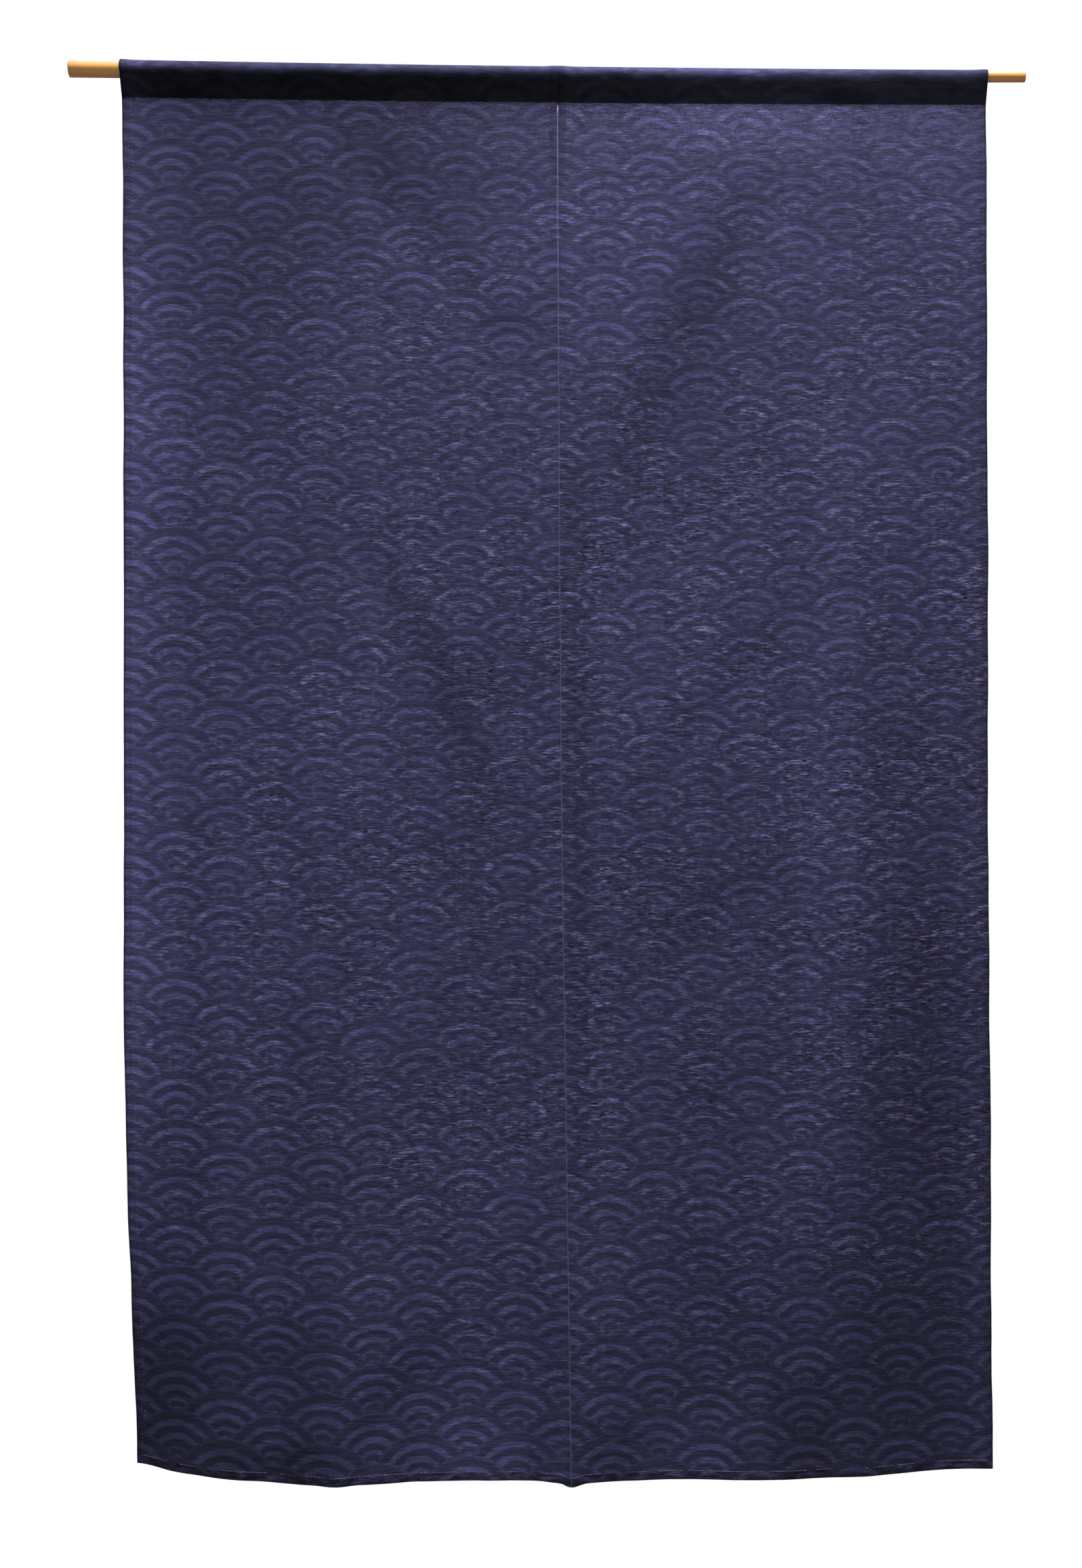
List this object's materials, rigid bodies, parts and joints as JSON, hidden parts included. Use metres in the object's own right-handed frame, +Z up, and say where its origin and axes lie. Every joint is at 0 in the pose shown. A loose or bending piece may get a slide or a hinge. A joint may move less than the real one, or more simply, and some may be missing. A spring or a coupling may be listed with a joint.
{
  "type": "noren curtain with rod",
  "caption": "Split cloth door curtain with a wave pattern, its sewn sleeves hung on a plain tapering rod, with soft folds and turned-back lower corners.",
  "frame": {"origin": "on the rod's axis at the middle of its length, 2 mm above it there because the rod sags a little", "axes": "+Z up, +X to the right of someone who faces the patterned front, -Y out of the front towards that person"},
  "size_m": [1.012, 0.056, 1.5129],
  "materials": {
    "rod": "glossy golden brown, plain cut ends",
    "cloth": "matt indigo weave with a traditional wave pattern"
  },
  "bodies": {
    "root": {"rod": "rod", "left_panel": "cloth", "right_panel": "cloth"}
  },
  "joints": []
}
